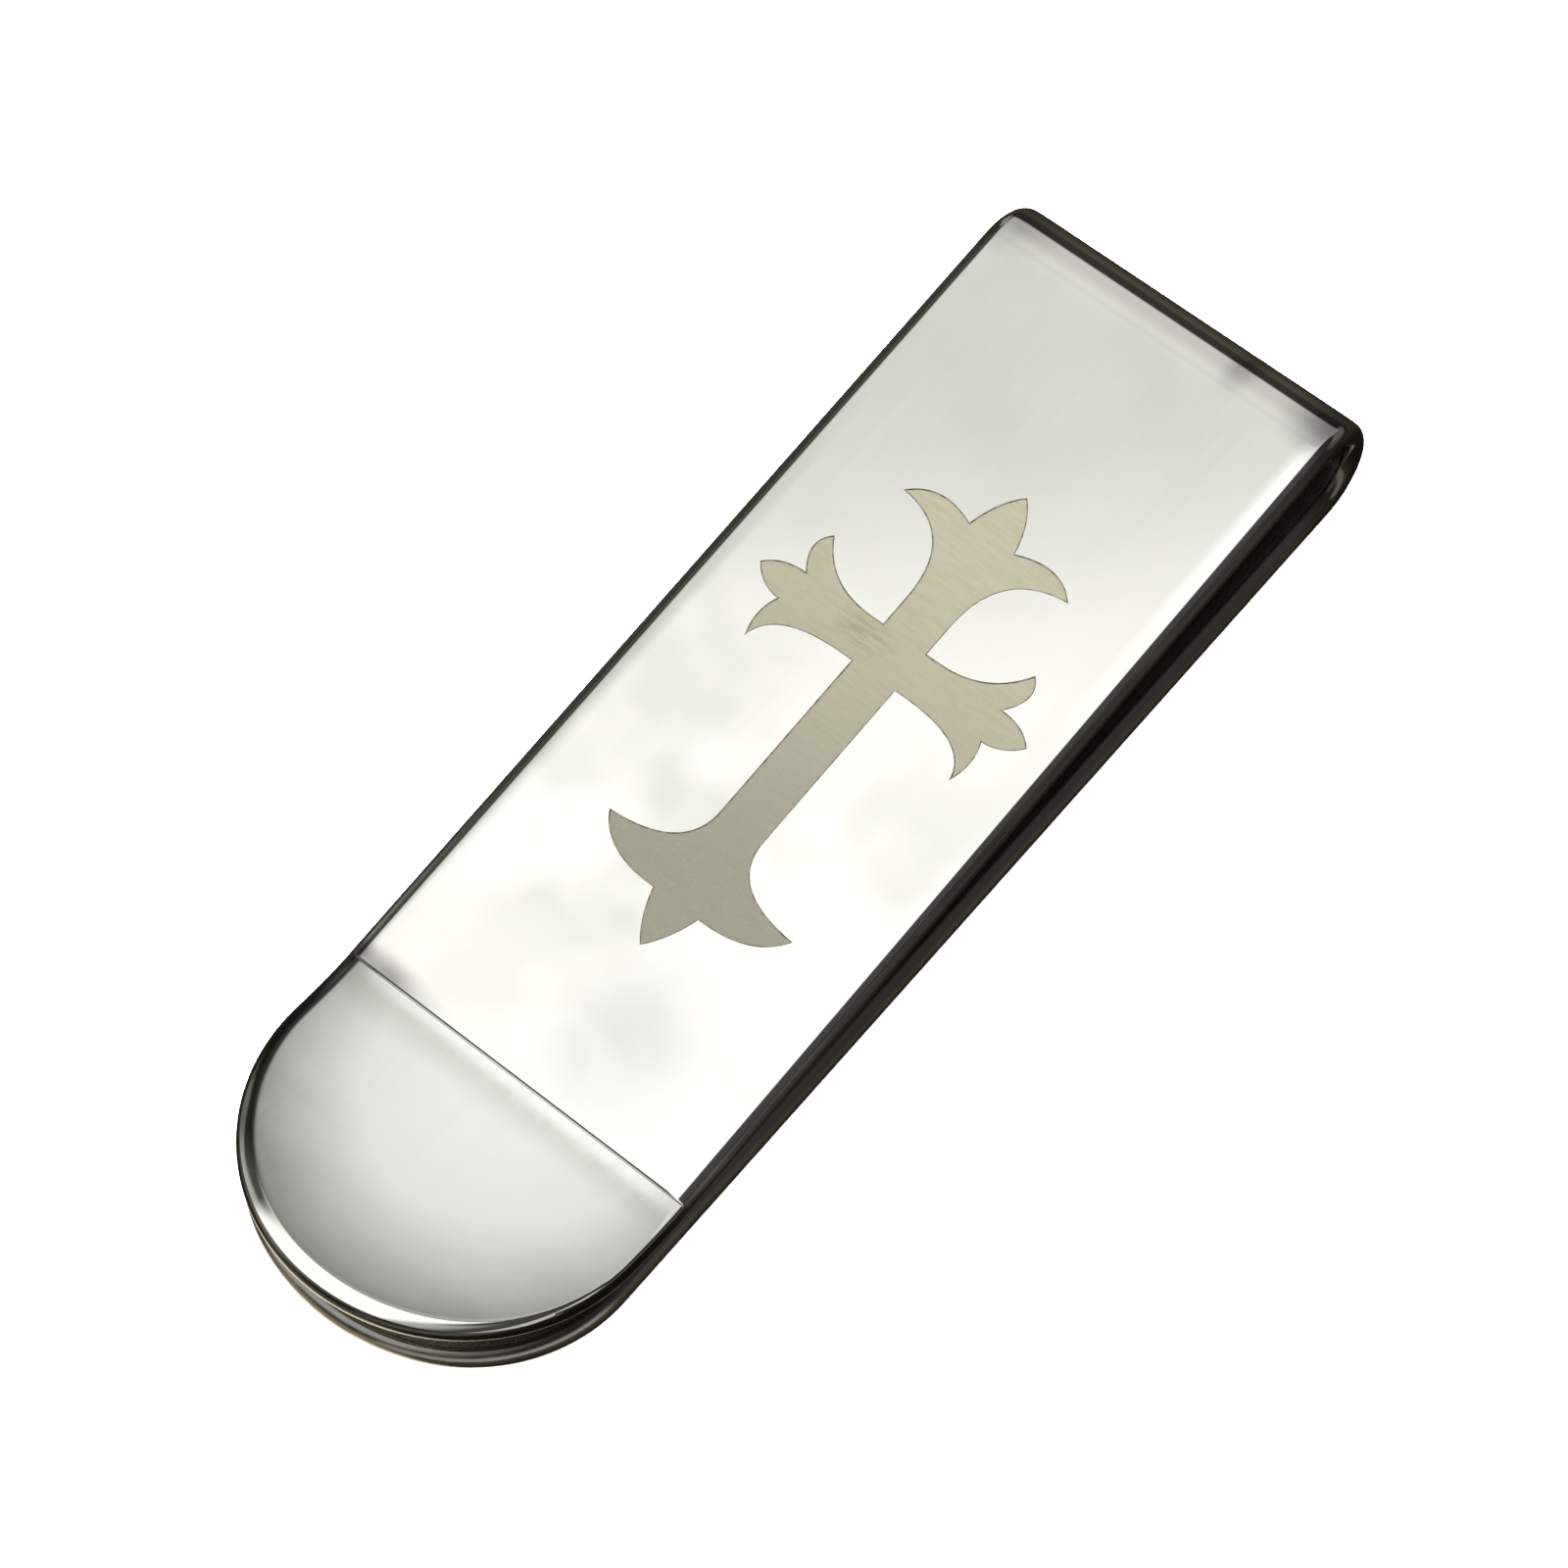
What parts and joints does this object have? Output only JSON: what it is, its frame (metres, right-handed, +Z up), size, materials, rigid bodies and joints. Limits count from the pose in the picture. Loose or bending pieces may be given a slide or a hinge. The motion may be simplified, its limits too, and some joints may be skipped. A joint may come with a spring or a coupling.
{
  "type": "money clip",
  "caption": "Folded spring-steel money clip with a rounded, lifted lip and an etched cross on its polished front leaf.",
  "frame": {"origin": "on the surface that the clip lies on, under the centre of its outline", "axes": "+Y along the strip towards the spring bend, +Z up through the front leaf, +X across the strip"},
  "size_m": [0.0186, 0.0572, 0.0057],
  "materials": {
    "clip_steel": "polished with softly rolled edges",
    "polished_face": "mirror polished"
  },
  "bodies": {
    "back": {"back_leaf": "clip_steel", "spring_bend": "clip_steel"},
    "front": {"front_leaf": "polished_face", "lift_lip": "polished_face"}
  },
  "joints": [
    {"name": "leaf_flex", "type": "hinge", "parent": "back", "child": "front", "pos_m": [0, 0.02575, 0.00285], "axis": [-1, 0, 0], "range_deg": [0, 6], "stiffness_Nm_per_rad": 1, "springref_deg": -1.15, "deforming": ["spring_bend"]}
  ]
}
